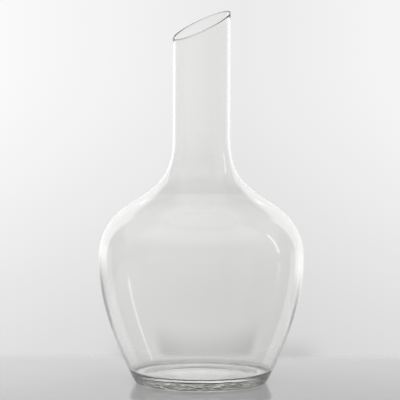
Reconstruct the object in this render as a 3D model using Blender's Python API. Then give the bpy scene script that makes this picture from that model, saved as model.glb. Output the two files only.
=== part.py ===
"""Glass wine decanter with a straight neck, a slanted mouth and a heavy foot.

The real vessel is blown and cut from one piece of glass. It is built here as the
zones a glassmaker names: foot, lower and upper bowl, shoulder, throat, neck and lip.
Each zone is one closed solid of revolution, and JOINT_GAP keeps it clear of the next.
The origin is on the axis at table level, +Z is up and +X points to the high side of
the mouth.
"""
import math

import bmesh
import bpy

# Overall sizes, in metres
HEIGHT = 0.270                # table to the highest point of the mouth
BODY_RADIUS = 0.075           # outside, at the widest height
WIDEST_HEIGHT = 0.092
NECK_RADIUS = 0.021           # outside
NECK_START = 0.182            # height where the neck becomes straight
MOUTH_ANGLE = math.radians(26.5)   # slant of the mouth from level

# Glass thickness
BODY_WALL = 0.002             # from the floor up to the widest height
NECK_WALL = 0.001             # neck and lip; the wall thins evenly up to here
FLOOR_HEIGHT = 0.008          # inside floor at its rim
DOME_RISE = 0.003             # inside floor, from its rim to its centre

# Foot
REST_RADIUS = 0.0455          # outer edge of the flat ring that rests on the table
REST_WIDTH = 0.005
HEEL_RADIUS = 0.0035
PUNT_RISE = 0.006             # hollow under the foot
CORNER_RUN = 0.003            # level run of the rounded corner between floor and wall
CORNER_RISE = 0.003

# Shape of the outline between those sizes
FLARE = math.radians(28.0)    # lean of the side where it leaves the heel
SIDE_PULL = (0.30, 0.37)      # curve handles, as shares of the chord
TURN_HEIGHT = 0.133           # where the shoulder turns from round to hollow
TURN_SHARE = 0.52             # its radius, between the neck's and the body's
TURN_LEAN = math.radians(59.0)
SHOULDER_PULL = (0.40, 0.37)
THROAT_PULL = (0.50, 0.43)
CORNER_PULL = (0.40, 0.40)

# Where the zones part
FOOT_TOP = FLOOR_HEIGHT + 0.008
BOWL_JOINT = (FOOT_TOP + WIDEST_HEIGHT) / 2
SHOULDER_JOINT = WIDEST_HEIGHT + 0.006
THROAT_JOINT = TURN_HEIGHT - 0.008
NECK_JOINT = NECK_START - 0.012
LIP_HEIGHT = 0.003
JOINT_GAP = 0.0003

# Fineness of the mesh
SEGMENTS = 56                 # sides of every round
SIDE_STEPS = 12               # points along the long curves of the outline
SHOULDER_STEPS = 8
ARC_STEPS = 5                 # points along each small arc
LEAST_STEP = 0.0001           # outline points nearer than this to a joint are left out

OUTWARD = (1.0, 0.0)
UP = (0.0, 1.0)
SIDE_LEAN = (math.sin(FLARE), math.cos(FLARE))
MOUTH_SLOPE = math.tan(MOUTH_ANGLE)


def line(start, end, share):
    """The point at a share of the way from start to end."""
    return tuple(a + (b - a) * share for a, b in zip(start, end))


def bezier(start, end, leaving, arriving, pulls, steps):
    """A cubic curve of (radius, height) points, given its two end directions."""
    chord = math.dist(start, end)
    first = tuple(p + d * chord * pulls[0] for p, d in zip(start, leaving))
    second = tuple(p - d * chord * pulls[1] for p, d in zip(end, arriving))
    points = []
    for step in range(steps + 1):
        t = step / steps
        a, b, c = line(start, first, t), line(first, second, t), line(second, end, t)
        points.append(line(line(a, b, t), line(b, c, t), t))
    return points


def arc(centre, radius, first, last, steps):
    """Points (radius, height) on an arc between two angles, measured from outward."""
    angles = [first + (last - first) * step / steps for step in range(steps + 1)]
    return [(centre[0] + radius * math.cos(a), centre[1] + radius * math.sin(a)) for a in angles]


def outer_outline():
    """Outside of the vessel, from the resting ring up to the straight neck."""
    heel = arc((REST_RADIUS, HEEL_RADIUS), HEEL_RADIUS, -math.pi / 2, -FLARE, ARC_STEPS)
    lean = (-math.sin(TURN_LEAN), math.cos(TURN_LEAN))
    widest = (BODY_RADIUS, WIDEST_HEIGHT)
    turn = (NECK_RADIUS + (BODY_RADIUS - NECK_RADIUS) * TURN_SHARE, TURN_HEIGHT)
    throat = (NECK_RADIUS, NECK_START)
    side = bezier(heel[-1], widest, SIDE_LEAN, UP, SIDE_PULL, SIDE_STEPS)
    shoulder = bezier(widest, turn, UP, lean, SHOULDER_PULL, SHOULDER_STEPS)
    hollow = bezier(turn, throat, lean, UP, THROAT_PULL, SHOULDER_STEPS)
    return heel + side[1:] + shoulder[1:] + hollow[1:]


def wall_at(height):
    """Wall thickness: even up to the widest height, then thinning smoothly to the neck."""
    share = (height - WIDEST_HEIGHT) / (NECK_START - WIDEST_HEIGHT)
    share = max(0.0, min(1.0, share))
    return BODY_WALL + (NECK_WALL - BODY_WALL) * share * share * (3 - 2 * share)


def inner_outline(outer):
    """Inside of the wall: each outer point moved in by the wall, square to the outline."""
    points = []
    for index, (radius, height) in enumerate(outer):
        before = outer[max(index - 1, 0)]
        after = outer[min(index + 1, len(outer) - 1)]
        run, rise = after[0] - before[0], after[1] - before[1]
        length = math.hypot(run, rise)
        wall = wall_at(height)
        points.append((radius - wall * rise / length, height + wall * run / length))
    return points


def radius_at(outline, height):
    """Radius of an outline at a height, read between its points."""
    for low, high in zip(outline, outline[1:]):
        if low[1] <= height <= high[1]:
            return line(low, high, (height - low[1]) / (high[1] - low[1]))[0]
    return outline[-1][0]


def stretch(outline, low, high):
    """The part of an outline between two heights, with its ends cut level."""
    inside = [point for point in outline if low + LEAST_STEP < point[1] < high - LEAST_STEP]
    return [(radius_at(outline, low), low)] + inside + [(radius_at(outline, high), high)]


def glass(name):
    """Clear glass for one zone."""
    material = bpy.data.materials.new(name)
    material.use_nodes = True
    shader = material.node_tree.nodes["Principled BSDF"]
    shader.inputs["Base Color"].default_value = (0.93, 0.95, 0.94, 1.0)
    shader.inputs["Metallic"].default_value = 0.0
    shader.inputs["Roughness"].default_value = 0.02
    shader.inputs["IOR"].default_value = 1.52
    shader.inputs["Transmission Weight"].default_value = 1.0
    return material


def turn_solid(name, profile, closed):
    """One closed solid of revolution.

    The profile runs outward along the bottom, up the outside and back down the
    inside, as (radius, height, slant) points: a slanted ring rises by slant for
    each metre towards +X. A closed profile joins its last point to its first, and
    an open one starts and ends on the axis.
    """
    mesh = bpy.data.meshes.new(name)
    solid = bmesh.new()
    rings = []
    for radius, height, slant in profile:
        count = SEGMENTS if radius > 0.0 else 1
        ring = []
        for side in range(count):
            angle = 2 * math.pi * side / SEGMENTS
            x, y = radius * math.cos(angle), radius * math.sin(angle)
            ring.append(solid.verts.new((x, y, height + slant * x)))
        rings.append(ring)
    pairs = list(zip(rings, rings[1:]))
    if closed:
        pairs.append((rings[-1], rings[0]))
    for lower, upper in pairs:
        for side in range(SEGMENTS):
            following = (side + 1) % SEGMENTS
            corners = [lower[side % len(lower)], lower[following % len(lower)],
                       upper[following % len(upper)], upper[side % len(upper)]]
            solid.faces.new(list(dict.fromkeys(corners)))
    solid.to_mesh(mesh)
    solid.free()
    mesh.shade_smooth()
    mesh.set_sharp_from_angle(angle=math.radians(40))
    mesh.materials.append(glass(name))
    node = bpy.data.objects.new(name, mesh)
    bpy.context.collection.objects.link(node)
    return node


def level(points):
    """Points of a profile whose rings all lie level."""
    return [(radius, height, 0.0) for radius, height in points]


def dome(radius, edge, rise):
    """A shallow dome's points (radius, height), from its edge in to the axis."""
    sphere = (radius ** 2 + rise ** 2) / (2 * rise)
    points = []
    for step in range(ARC_STEPS + 1):
        out = radius * (1 - step / ARC_STEPS)
        points.append((out, edge + rise - sphere + math.sqrt(sphere ** 2 - out ** 2)))
    return points


def make_foot(outer, inner):
    """Heavy base: resting ring and punt below, domed floor and corner above."""
    top = FOOT_TOP - JOINT_GAP / 2
    punt = dome(REST_RADIUS - REST_WIDTH, 0.0, PUNT_RISE)
    outside = stretch(outer, 0.0, top)[1:]
    corner_top = FLOOR_HEIGHT + CORNER_RISE
    wall_foot = (radius_at(inner, corner_top), corner_top)
    floor_rim = (radius_at(inner, FLOOR_HEIGHT) - CORNER_RUN, FLOOR_HEIGHT)
    corner = bezier(floor_rim, wall_foot, OUTWARD, SIDE_LEAN, CORNER_PULL, ARC_STEPS)
    floor = dome(floor_rim[0], FLOOR_HEIGHT, DOME_RISE)
    wall = [(radius_at(inner, top), top)]
    profile = punt[::-1] + [(REST_RADIUS, 0.0)] + outside + wall + corner[::-1] + floor[1:]
    return turn_solid("foot", level(profile), closed=False)


def make_zone(name, outer, inner, low, high):
    """A ring of the wall between two level joints."""
    low, high = low + JOINT_GAP / 2, high - JOINT_GAP / 2
    profile = stretch(outer, low, high) + stretch(inner, low, high)[::-1]
    return turn_solid(name, level(profile), closed=True)


def mouth_centre():
    """Height of the mouth's rim on the axis, so that its high side is at HEIGHT."""
    edge = NECK_WALL / 2
    return HEIGHT - MOUTH_SLOPE * (NECK_RADIUS - edge) - edge * math.hypot(1.0, MOUTH_SLOPE)


def make_neck(outer, inner):
    """Straight neck and the last of the throat, cut on the mouth's slant at its top."""
    low = NECK_JOINT + JOINT_GAP / 2
    cut = mouth_centre() - LIP_HEIGHT - JOINT_GAP / 2
    bore = NECK_RADIUS - NECK_WALL
    outside = level(stretch(outer, low, NECK_START)) + [(NECK_RADIUS, cut, MOUTH_SLOPE)]
    inside = [(bore, cut, MOUTH_SLOPE)] + level(stretch(inner, low, NECK_START)[::-1])
    return turn_solid("neck", outside + inside, closed=True)


def make_lip():
    """Fire-polished rim: the last of the neck, with its edge melted round."""
    centre = mouth_centre()
    cut = centre - LIP_HEIGHT + JOINT_GAP / 2
    edge = NECK_WALL / 2
    rounded = arc((NECK_RADIUS - edge, centre), edge, 0.0, math.pi, ARC_STEPS + 1)
    profile = [(NECK_RADIUS, cut)] + rounded + [(NECK_RADIUS - NECK_WALL, cut)]
    return turn_solid("lip", [(r, z, MOUTH_SLOPE) for r, z in profile], closed=True)


def main():
    for node in list(bpy.data.objects):
        bpy.data.objects.remove(node, do_unlink=True)
    outer = outer_outline()
    inner = inner_outline(outer)
    make_foot(outer, inner)
    make_zone("lower_bowl", outer, inner, FOOT_TOP, BOWL_JOINT)
    make_zone("upper_bowl", outer, inner, BOWL_JOINT, SHOULDER_JOINT)
    make_zone("shoulder", outer, inner, SHOULDER_JOINT, THROAT_JOINT)
    make_zone("throat", outer, inner, THROAT_JOINT, NECK_JOINT)
    make_neck(outer, inner)
    make_lip()


main()
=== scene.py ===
"""Looks of a clear glass wine decanter: one seamless vessel in a soft studio.

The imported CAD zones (foot, bowls, shoulder, throat, neck, lip) fix every overall size. Here
they are replaced by one continuous glass mesh, because the real vessel has no seams.
"""
import math

import bmesh
import bpy
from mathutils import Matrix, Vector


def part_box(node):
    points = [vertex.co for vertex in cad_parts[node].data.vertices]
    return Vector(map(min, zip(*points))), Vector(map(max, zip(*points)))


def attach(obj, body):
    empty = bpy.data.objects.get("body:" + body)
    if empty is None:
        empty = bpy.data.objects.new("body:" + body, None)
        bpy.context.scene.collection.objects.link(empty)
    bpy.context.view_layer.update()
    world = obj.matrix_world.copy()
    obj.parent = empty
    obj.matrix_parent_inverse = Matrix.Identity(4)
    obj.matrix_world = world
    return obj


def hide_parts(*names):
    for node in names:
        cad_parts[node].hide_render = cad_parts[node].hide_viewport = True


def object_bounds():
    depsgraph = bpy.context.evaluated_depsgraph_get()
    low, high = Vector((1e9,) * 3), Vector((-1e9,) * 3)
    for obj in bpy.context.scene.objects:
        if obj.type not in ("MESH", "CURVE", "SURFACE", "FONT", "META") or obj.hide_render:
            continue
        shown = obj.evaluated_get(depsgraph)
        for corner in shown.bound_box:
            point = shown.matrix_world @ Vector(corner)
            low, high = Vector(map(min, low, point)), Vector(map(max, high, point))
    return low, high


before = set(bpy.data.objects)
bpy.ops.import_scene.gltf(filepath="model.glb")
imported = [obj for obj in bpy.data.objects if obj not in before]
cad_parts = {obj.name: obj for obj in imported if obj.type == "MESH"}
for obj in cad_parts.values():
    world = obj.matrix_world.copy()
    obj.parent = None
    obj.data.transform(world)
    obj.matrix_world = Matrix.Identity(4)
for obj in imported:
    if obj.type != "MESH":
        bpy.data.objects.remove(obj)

CAD_LOW, CAD_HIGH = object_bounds()

# ---------------------------------------------------------------- sizes, in metres
HEIGHT = CAD_HIGH.z                       # table to the high side of the mouth
BODY_RADIUS = CAD_HIGH.x                  # outside, at the widest height
NECK_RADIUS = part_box("lip")[1][0]         # outside
WIDEST_HEIGHT = 0.092
NECK_START = 0.182                        # where the neck becomes straight
MOUTH_SLOPE = math.tan(math.radians(26.5))

BODY_WALL = 0.002                         # from the floor up to the widest height
NECK_WALL = 0.001                         # neck and lip
FLOOR_HEIGHT = 0.008
RIM_ROUND = 1.8                           # how much taller than a half circle the rim is
DOME_RISE = 0.003                         # inside floor, from its rim to its centre
REST_RADIUS = 0.0455                      # outer edge of the flat ring that rests on the table
REST_WIDTH = 0.005
HEEL_RADIUS = 0.0035
PUNT_RISE = 0.006                         # hollow under the foot
CORNER_RUN = 0.003                        # rounded corner between the inside floor and wall
CORNER_RISE = 0.003

FLARE = math.radians(28.0)                # lean of the side where it leaves the heel
SIDE_PULL = (0.30, 0.37)                  # curve handles, as shares of the chord
TURN_HEIGHT = 0.133                       # where the shoulder turns from round to hollow
TURN_SHARE = 0.52                         # its radius, between the neck's and the body's
TURN_LEAN = math.radians(59.0)
SHOULDER_PULL = (0.40, 0.37)
THROAT_PULL = (0.50, 0.43)
CORNER_PULL = (0.40, 0.40)

SEGMENTS = 320                            # sides of every round
CURVE_STEPS = 90                          # points along each long curve of the outline
ARC_STEPS = 12                            # points along each small arc
NECK_STEPS = 24                           # rings along the straight neck
ON_AXIS = 1e-6                            # a smaller radius is one point on the axis

OUTWARD = (1.0, 0.0)
UP = (0.0, 1.0)
SIDE_LEAN = (math.sin(FLARE), math.cos(FLARE))


# ---------------------------------------------------------------- outline
def line(start, end, share):
    """The point at a share of the way from start to end."""
    return tuple(a + (b - a) * share for a, b in zip(start, end))


def bezier(start, end, leaving, arriving, pulls, steps=CURVE_STEPS):
    """A cubic curve of (radius, height) points, given its two end directions."""
    chord = math.dist(start, end)
    first = tuple(p + d * chord * pulls[0] for p, d in zip(start, leaving))
    second = tuple(p - d * chord * pulls[1] for p, d in zip(end, arriving))
    points = []
    for step in range(steps + 1):
        t = step / steps
        a, b, c = line(start, first, t), line(first, second, t), line(second, end, t)
        points.append(line(line(a, b, t), line(b, c, t), t))
    return points


def arc(centre, radius, first, last):
    """Points (radius, height) on an arc between two angles, measured from outward."""
    angles = [first + (last - first) * step / ARC_STEPS for step in range(ARC_STEPS + 1)]
    return [(centre[0] + radius * math.cos(a), centre[1] + radius * math.sin(a)) for a in angles]


def dome(radius, edge, rise):
    """A shallow dome's points (radius, height), from its edge in to the axis."""
    steps = CURVE_STEPS // 2
    sphere = (radius ** 2 + rise ** 2) / (2 * rise)
    points = []
    for step in range(steps + 1):
        out = radius * (1 - step / steps)
        points.append((out, edge + rise - sphere + math.sqrt(sphere ** 2 - out ** 2)))
    return points


def outer_outline():
    """Outside of the vessel, from the resting ring up to the straight neck."""
    heel = arc((REST_RADIUS, HEEL_RADIUS), HEEL_RADIUS, -math.pi / 2, -FLARE)
    lean = (-math.sin(TURN_LEAN), math.cos(TURN_LEAN))
    widest = (BODY_RADIUS, WIDEST_HEIGHT)
    turn = (NECK_RADIUS + (BODY_RADIUS - NECK_RADIUS) * TURN_SHARE, TURN_HEIGHT)
    side = bezier(heel[-1], widest, SIDE_LEAN, UP, SIDE_PULL)
    shoulder = bezier(widest, turn, UP, lean, SHOULDER_PULL)
    throat = bezier(turn, (NECK_RADIUS, NECK_START), lean, UP, THROAT_PULL)
    return heel + side[1:] + shoulder[1:] + throat[1:]


def wall_at(height):
    """Wall thickness: even up to the widest height, then thinning smoothly to the neck."""
    share = (height - WIDEST_HEIGHT) / (NECK_START - WIDEST_HEIGHT)
    share = max(0.0, min(1.0, share))
    return BODY_WALL + (NECK_WALL - BODY_WALL) * share * share * (3 - 2 * share)


def inner_outline(outer):
    """Inside of the wall: each outer point moved in by the wall, square to the outline."""
    points = []
    for index, (radius, height) in enumerate(outer):
        before = outer[max(index - 1, 0)]
        after = outer[min(index + 1, len(outer) - 1)]
        run, rise = after[0] - before[0], after[1] - before[1]
        length = math.hypot(run, rise)
        wall = wall_at(height)
        points.append((radius - wall * rise / length, height + wall * run / length))
    return points


def radius_at(outline, height):
    """Radius of a rising outline at a height."""
    for low, high in zip(outline, outline[1:]):
        if low[1] <= height <= high[1]:
            return line(low, high, (height - low[1]) / (high[1] - low[1]))[0]
    return outline[-1][0]


def vessel_profile():
    """The whole section as (radius, height, slant): punt, foot, outside, rim, inside, floor."""
    outer = outer_outline()
    inner = inner_outline(outer)
    edge = NECK_WALL / 2
    rim_top = MOUTH_SLOPE * (NECK_RADIUS - edge) + edge * math.hypot(RIM_ROUND, MOUTH_SLOPE)
    mouth = HEIGHT - rim_top

    punt = dome(REST_RADIUS - REST_WIDTH, 0.0, PUNT_RISE)[::-1]
    corner_top = FLOOR_HEIGHT + CORNER_RISE
    wall_foot = (radius_at(inner, corner_top), corner_top)
    floor_rim = (radius_at(inner, FLOOR_HEIGHT) - CORNER_RUN, FLOOR_HEIGHT)
    corner = bezier(floor_rim, wall_foot, OUTWARD, SIDE_LEAN, CORNER_PULL, ARC_STEPS)
    floor = dome(floor_rim[0], FLOOR_HEIGHT, DOME_RISE)
    wall = [point for point in inner if point[1] > corner_top + NECK_WALL / 4]

    profile = [(r, z, 0.0) for r, z in punt + outer]
    shares = [step / NECK_STEPS for step in range(1, NECK_STEPS)]
    length = mouth - NECK_START
    for share in shares:
        profile.append((NECK_RADIUS, NECK_START + length * share, MOUTH_SLOPE * share))
    rim = arc((NECK_RADIUS - edge, mouth), edge, 0.0, math.pi)
    profile += [(r, mouth + (z - mouth) * RIM_ROUND, MOUTH_SLOPE) for r, z in rim]
    bore = NECK_RADIUS - NECK_WALL
    for share in reversed(shares):
        profile.append((bore, NECK_START + length * share, MOUTH_SLOPE * share))
    profile += [(r, z, 0.0) for r, z in wall[::-1] + corner[::-1] + floor[1:]]
    return profile


def turned(name, profile):
    """One closed mesh of revolution. A slanted ring rises by slant per metre along +X."""
    solid = bmesh.new()
    rings = []
    for radius, height, slant in profile:
        count = SEGMENTS if radius > ON_AXIS else 1
        ring = []
        for side in range(count):
            angle = 2 * math.pi * side / SEGMENTS
            x, y = radius * math.cos(angle), radius * math.sin(angle)
            ring.append(solid.verts.new((x, y, height + slant * x)))
        rings.append(ring)
    for lower, upper in zip(rings, rings[1:]):
        for side in range(SEGMENTS):
            following = (side + 1) % SEGMENTS
            corners = [lower[side % len(lower)], lower[following % len(lower)],
                       upper[following % len(upper)], upper[side % len(upper)]]
            solid.faces.new(list(dict.fromkeys(corners)))
    mesh = bpy.data.meshes.new(name)
    solid.to_mesh(mesh)
    solid.free()
    mesh.shade_smooth()
    piece = bpy.data.objects.new(name, mesh)
    bpy.context.collection.objects.link(piece)
    return piece


# ---------------------------------------------------------------- node helpers
def add_node(tree, kind, **settings):
    """A new node with its own settings, such as its operation or label."""
    node = tree.nodes.new(kind)
    for name, value in settings.items():
        setattr(node, name, value)
    return node


def feed(tree, socket, value):
    """Link another node's output to a socket, or set the socket to a plain value."""
    if isinstance(value, bpy.types.NodeSocket):
        tree.links.new(value, socket)
    else:
        socket.default_value = value


def calculate(tree, operation, *values):
    """The result of a Math node."""
    node = add_node(tree, "ShaderNodeMath", operation=operation)
    for socket, value in zip(node.inputs, values):
        feed(tree, socket, value)
    return node.outputs["Value"]


def vector_math(tree, operation, *values):
    """The result of a Vector Math node."""
    node = add_node(tree, "ShaderNodeVectorMath", operation=operation)
    for socket, value in zip(node.inputs, values):
        feed(tree, socket, value)
    return node.outputs["Value" if operation == "LENGTH" else "Vector"]


def ranged(tree, value, source, target, shape="SMOOTHSTEP"):
    """A value brought from its source range to a target range, and held at both ends."""
    node = add_node(tree, "ShaderNodeMapRange", interpolation_type=shape)
    names = ("Value", "From Min", "From Max", "To Min", "To Max")
    for name, given in zip(names, (value, *source, *target)):
        feed(tree, node.inputs[name], given)
    return node.outputs["Result"]


def mix(tree, kind, factor, first, second):
    """The first value where the factor is 0 and the second where it is 1."""
    node = add_node(tree, "ShaderNodeMix", data_type=kind)
    for name, given in (("Factor", factor), ("A", first), ("B", second)):
        feed(tree, node.inputs[name], given)
    return node.outputs["Result"]


def make_group(name, inputs, output):
    """A node group of plain numbers, with the sockets that lead into it and out of it."""
    group = bpy.data.node_groups.new(name, "ShaderNodeTree")
    for title in inputs:
        group.interface.new_socket(title, in_out="INPUT", socket_type="NodeSocketFloat")
    group.interface.new_socket(output, in_out="OUTPUT", socket_type="NodeSocketFloat")
    given = add_node(group, "NodeGroupInput").outputs
    made = add_node(group, "NodeGroupOutput").inputs
    return group, given, made


def use_group(tree, group, label, values):
    """The output of a group placed in a material or a world with its own values."""
    node = add_node(tree, "ShaderNodeGroup", node_tree=group, label=label)
    for title, value in values.items():
        feed(tree, node.inputs[title], value)
    return node.outputs[0]


# ---------------------------------------------------------------- glass
GLASS_TINT = (0.990, 0.990, 0.984, 1.0)
GLASS_IOR = 1.52
FOOT_TINT_AND_SHADE = (0.17, 0.18, 0.145, 1.0)      # partly the thick foot's greenish tint, partly painted shade darkening the foot near the table
FOOT_BAND = 0.0060                        # top of the band of tint and painted shade
FOOT_BAND_EDGE = 0.0010
MOTTLE_SCALE = 210.0                      # cloudy patches in the foot
MOTTLE_STRETCH = 3.0
MOTTLE_DETAIL = 2.0
MOTTLE_RANGE = (0.42, 0.66)               # patch values that turn from dark to clear
MOTTLE_CLEAR = 0.10                       # tint and painted shade left in the clear patches
MOTTLE_DEPTH = 0.0012
RIPPLE_SCALE = 26.0                       # faint waves in the whole wall
RIPPLE_STRETCH = 0.35
RIPPLE_DETAIL = 1.0
RIPPLE_DEPTH = 0.00002
REST_WEAR_HEIGHT = 0.0006                 # scuffs on the resting ring
REST_WEAR_ROUGHNESS = 0.22


def make_patch_group():
    """Node group: uneven cloudy patches, drawn out or squeezed along the vessel's height."""
    inputs = ("Scale", "Height Stretch", "Detail")
    group, given, made = make_group("uneven_patches", inputs, "Height")
    coords = add_node(group, "ShaderNodeTexCoord")
    stretch = add_node(group, "ShaderNodeCombineXYZ")
    for axis, factor in (("X", 1.0), ("Y", 1.0), ("Z", given["Height Stretch"])):
        feed(group, stretch.inputs[axis], factor)
    scaled = vector_math(group, "MULTIPLY", coords.outputs["Object"], stretch.outputs["Vector"])
    noise = add_node(group, "ShaderNodeTexNoise")
    feed(group, noise.inputs["Vector"], scaled)
    feed(group, noise.inputs["Scale"], given["Scale"])
    feed(group, noise.inputs["Detail"], given["Detail"])
    feed(group, made["Height"], noise.outputs["Fac"])
    return group


def make_below_group():
    """Node group: 1 below a height and outside a radius, fading to 0 over a soft top edge."""
    group, given, made = make_group("below_height", ("Top", "Soft Edge", "Least Radius"), "Mask")
    coords = add_node(group, "ShaderNodeTexCoord").outputs["Object"]
    axes = add_node(group, "ShaderNodeSeparateXYZ")
    feed(group, axes.inputs["Vector"], coords)
    edge = calculate(group, "ADD", given["Top"], given["Soft Edge"])
    fade = ranged(group, axes.outputs["Z"], (given["Top"], edge), (1.0, 0.0))
    level = vector_math(group, "MULTIPLY", coords, (1.0, 1.0, 0.0))
    radius = vector_math(group, "LENGTH", level)
    beyond = calculate(group, "GREATER_THAN", radius, given["Least Radius"])
    feed(group, made["Mask"], calculate(group, "MULTIPLY", fade, beyond))
    return group


def glass_material():
    """Clear glass: faint ripples all over, a mottled foot darkened by tint and painted shade, and
    a scuffed resting ring.
    """
    material = bpy.data.materials.new("clear_glass")
    material.use_nodes = True
    tree = material.node_tree
    shader = tree.nodes["Principled BSDF"]
    shader.inputs["IOR"].default_value = GLASS_IOR
    shader.inputs["Transmission Weight"].default_value = 1.0
    patches = make_patch_group()
    below = make_below_group()

    ripple = use_group(tree, patches, "wall_ripple", {
        "Scale": RIPPLE_SCALE, "Height Stretch": RIPPLE_STRETCH, "Detail": RIPPLE_DETAIL})
    mottle = use_group(tree, patches, "foot_mottle", {
        "Scale": MOTTLE_SCALE, "Height Stretch": MOTTLE_STRETCH, "Detail": MOTTLE_DETAIL})
    foot = use_group(tree, below, "foot_tint_and_shade_band", {
        "Top": FOOT_BAND, "Soft Edge": FOOT_BAND_EDGE, "Least Radius": REST_RADIUS})
    ring = use_group(tree, below, "resting_ring", {"Top": 0.0, "Soft Edge": REST_WEAR_HEIGHT})

    # The foot's tint and painted shade, broken up by the cloudy patches.
    cloud = ranged(tree, mottle, MOTTLE_RANGE, (1.0, MOTTLE_CLEAR), "LINEAR")
    shade = calculate(tree, "MULTIPLY", foot, cloud)
    feed(tree, shader.inputs["Base Color"], mix(tree, "RGBA", shade, GLASS_TINT, FOOT_TINT_AND_SHADE))
    wear = calculate(tree, "MULTIPLY", ring, REST_WEAR_ROUGHNESS)
    feed(tree, shader.inputs["Roughness"], wear)

    waves = calculate(tree, "MULTIPLY", ripple, RIPPLE_DEPTH)
    lumps = calculate(tree, "MULTIPLY", mottle, foot)
    height = calculate(tree, "MULTIPLY_ADD", lumps, MOTTLE_DEPTH, waves)
    bump = add_node(tree, "ShaderNodeBump")
    bump.inputs["Strength"].default_value = 1.0
    bump.inputs["Distance"].default_value = 1.0
    feed(tree, bump.inputs["Height"], height)
    feed(tree, shader.inputs["Normal"], bump.outputs["Normal"])
    return material


vessel = turned("glass_vessel", vessel_profile())
vessel.data.materials.append(glass_material())
vessel.visible_shadow = False             # the table's own shade stands in for it
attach(vessel, "root")
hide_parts("foot", "lower_bowl", "upper_bowl", "shoulder", "throat", "neck", "lip")


# ---------------------------------------------------------------- studio
STUDIO_TURN = math.radians(-25.0)         # how far the studio is turned round the vessel
CAMERA_DISTANCE = 1.80
CAMERA_HEIGHT = 0.2691
CAMERA_AIM = 0.0007                       # turned a little left of the vessel's axis
CAMERA_PITCH = 0.0754
CAMERA_ROLL = 0.0026
CAMERA_LENS = 223.9
CAMERA_REACH = 100.0
SENSOR_WIDTH = 36.0

TABLE_HALF = 3.0
TABLE_TOP = -0.0002
TABLE_BACK = 0.160                        # where the table's far edge has faded out
TABLE_FADE = 0.050
# Painted light on the table: lighter at the back, darker towards the front and the right.
TABLE_BACK_PAINTED_LIGHT = (0.635, 0.635, 0.64, 1.0)
TABLE_FRONT_PAINTED_SHADE = (0.385, 0.385, 0.39, 1.0)
TABLE_PAINTED_FALLOFF = (-0.25, 0.16)             # where the painted light falloff starts and stops, front to back
TABLE_PAINTED_FALLOFF_SLANT = 0.3                 # the painted falloff gets darker to the right too
FOOT_SHADE = 0.92                         # tone of the soft shade under the foot
FOOT_SHADE_REACH = (0.050, 0.150)         # where that shade starts and stops fading
TABLE_ROUGHNESS = 0.06
TABLE_GLOSS = 0.07

# Angles around the studio are in degrees: azimuth 0 is straight behind the vessel, + to the right.
HALF_TURN = 180.0
ROOM_TONE = 0.45
BACKDROP_TONES = (0.60, 0.83)             # low and high on the backdrop
BACKDROP_RISE = (-11.0, -1.0)             # elevations between which it gets lighter
BACKDROP_MIDDLE = 0.9                     # azimuth of its darkest upright line
BACKDROP_SPREAD = (0.0, 10.0)             # off that line, it gets lighter to both sides
BACKDROP_GAIN = (1.0, 1.27)
# Each panel has a name, these six measures and a tone. Later panels lie over earlier ones, and
# a tone of None is the backdrop's own graded tone.
PANEL_MEASURES = ("Centre Azimuth", "Centre Elevation", "Half Width", "Half Height",
                  "Soft Width", "Soft Height")
PANELS = (
    ("backdrop", 0.0, -9.0, 15.0, 31.0, 2.0, 14.0, None),
    ("low_shade", 0.35, -9.6, 1.85, 1.3, 0.8, 1.0, 0.48),
    ("camera_side", 180.0, 0.0, 60.0, 40.0, 20.0, 20.0, 0.44),
    ("camera_top", 180.0, 62.0, 80.0, 14.0, 20.0, 26.0, 0.98),
    ("left_flag", -85.0, 0.0, 28.0, 20.0, 10.0, 10.0, 0.22),
    ("right_flag", 85.0, 0.0, 28.0, 20.0, 10.0, 10.0, 0.40),
    ("side_strip", 82.5, 19.5, 0.7, 12.0, 2.2, 4.0, 2.5),
    ("left_field", -31.5, 14.5, 16.5, 18.0, 2.0, 6.5, 1.10),
    ("right_field", 30.0, 12.5, 18.5, 19.0, 2.0, 6.5, 1.05),
    ("ceiling", 0.0, 90.0, 180.0, 22.0, 10.0, 14.0, 0.85),
    ("rear_softbox", 0.0, 44.0, 19.0, 15.0, 4.0, 4.0, 2.60),
)


def studio_point(right, away, height):
    """A place in the studio, from distances to the right, away from the camera and up."""
    across, along = math.cos(STUDIO_TURN), math.sin(STUDIO_TURN)
    return (right * across - away * along, right * along + away * across, height)


def studio_axes(tree, coordinate):
    """X to the right, Y away and Z up in the studio, from a texture coordinate."""
    coords = add_node(tree, "ShaderNodeTexCoord")
    turn = add_node(tree, "ShaderNodeMapping", vector_type="TEXTURE")
    turn.inputs["Rotation"].default_value[2] = STUDIO_TURN
    feed(tree, turn.inputs["Vector"], coords.outputs[coordinate])
    axes = add_node(tree, "ShaderNodeSeparateXYZ")
    feed(tree, axes.inputs["Vector"], turn.outputs["Vector"])
    return axes.outputs


def make_panel_group():
    """Node group: 1 inside a soft-edged panel of the sky, 0 outside it."""
    inputs = ("Azimuth", "Elevation") + PANEL_MEASURES
    group, given, made = make_group("soft_panel", inputs, "Mask")
    around = calculate(group, "SUBTRACT", given["Azimuth"], given["Centre Azimuth"])
    around = calculate(group, "WRAP", around, HALF_TURN, -HALF_TURN)
    above = calculate(group, "SUBTRACT", given["Elevation"], given["Centre Elevation"])
    masks = []
    for offset, half, soft in ((around, "Half Width", "Soft Width"),
                               (above, "Half Height", "Soft Height")):
        distance = calculate(group, "ABSOLUTE", offset)
        edge = calculate(group, "ADD", given[half], given[soft])
        masks.append(ranged(group, distance, (given[half], edge), (1.0, 0.0)))
    feed(group, made["Mask"], calculate(group, "MULTIPLY", *masks))
    return group


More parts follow.
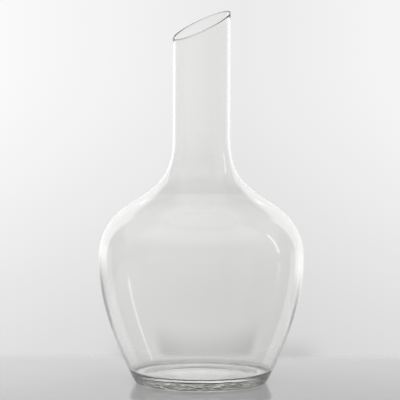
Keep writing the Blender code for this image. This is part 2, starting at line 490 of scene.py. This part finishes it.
def make_world():
    """A pale backdrop with panels of light around it, all told apart by direction."""
    world = bpy.data.worlds.new("studio")
    world.use_nodes = True
    tree = world.node_tree
    axes = studio_axes(tree, "Generated")
    azimuth = calculate(tree, "DEGREES", calculate(tree, "ARCTAN2", axes["X"], axes["Y"]))
    elevation = calculate(tree, "DEGREES", calculate(tree, "ARCSINE", axes["Z"]))

    rising = ranged(tree, elevation, BACKDROP_RISE, BACKDROP_TONES)
    aside = calculate(tree, "ABSOLUTE", calculate(tree, "SUBTRACT", azimuth, BACKDROP_MIDDLE))
    widening = ranged(tree, aside, BACKDROP_SPREAD, BACKDROP_GAIN, "LINEAR")
    backdrop = calculate(tree, "MULTIPLY", rising, widening)

    group = make_panel_group()
    light = ROOM_TONE
    for name, *measures, tone in PANELS:
        values = dict(zip(PANEL_MEASURES, measures), Azimuth=azimuth, Elevation=elevation)
        mask = use_group(tree, group, name, values)
        light = mix(tree, "FLOAT", mask, light, backdrop if tone is None else tone)
    feed(tree, tree.nodes["Background"].inputs["Color"], light)
    bpy.context.scene.world = world


def table_material():
    """Pale gloss with painted light: lighter at the back, a soft painted shade under the foot and
    a far edge that fades.
    """
    material = bpy.data.materials.new("table")
    material.use_nodes = True
    tree = material.node_tree
    shader = tree.nodes["Principled BSDF"]
    shader.inputs["Roughness"].default_value = TABLE_ROUGHNESS
    shader.inputs["Specular IOR Level"].default_value = TABLE_GLOSS
    axes = studio_axes(tree, "Object")
    fade = ranged(tree, axes["Y"], (TABLE_BACK - TABLE_FADE, TABLE_BACK), (1.0, 0.0))
    feed(tree, shader.inputs["Alpha"], fade)

    # Painted light: the table's tone falls off from the back towards the front and the right.
    slant = calculate(tree, "MULTIPLY_ADD", axes["X"], -TABLE_PAINTED_FALLOFF_SLANT, axes["Y"])
    painted_falloff = ranged(tree, slant, TABLE_PAINTED_FALLOFF, (0.0, 1.0))
    tone = mix(tree, "RGBA", painted_falloff, TABLE_FRONT_PAINTED_SHADE, TABLE_BACK_PAINTED_LIGHT)
    coords = add_node(tree, "ShaderNodeTexCoord").outputs["Object"]
    from_axis = vector_math(tree, "LENGTH", coords)
    shade = ranged(tree, from_axis, FOOT_SHADE_REACH, (FOOT_SHADE, 1.0))
    feed(tree, shader.inputs["Base Color"], vector_math(tree, "MULTIPLY", tone, shade))
    return material


def make_table():
    """A pale glossy table whose far edge fades softly into the backdrop."""
    places = ((-TABLE_HALF, -TABLE_HALF), (TABLE_HALF, -TABLE_HALF),
              (TABLE_HALF, TABLE_BACK), (-TABLE_HALF, TABLE_BACK))
    corners = [studio_point(right, away, TABLE_TOP) for right, away in places]
    mesh = bpy.data.meshes.new("table")
    mesh.from_pydata(corners, [], [(0, 1, 2, 3)])
    mesh.materials.append(table_material())
    table = bpy.data.objects.new("table", mesh)
    bpy.context.collection.objects.link(table)


def make_camera():
    """A long lens, level with the mouth and pitched down at the vessel."""
    data = bpy.data.cameras.new("camera")
    data.sensor_width = SENSOR_WIDTH
    data.lens = CAMERA_LENS
    data.clip_end = CAMERA_REACH
    camera = bpy.data.objects.new("camera", data)
    camera.location = studio_point(0.0, -CAMERA_DISTANCE, CAMERA_HEIGHT)
    camera.rotation_euler = (math.pi / 2 - CAMERA_PITCH, -CAMERA_ROLL, STUDIO_TURN + CAMERA_AIM)
    bpy.context.collection.objects.link(camera)
    bpy.context.scene.camera = camera


make_camera()
make_table()
make_world()
bpy.context.scene.view_settings.view_transform = "Standard"
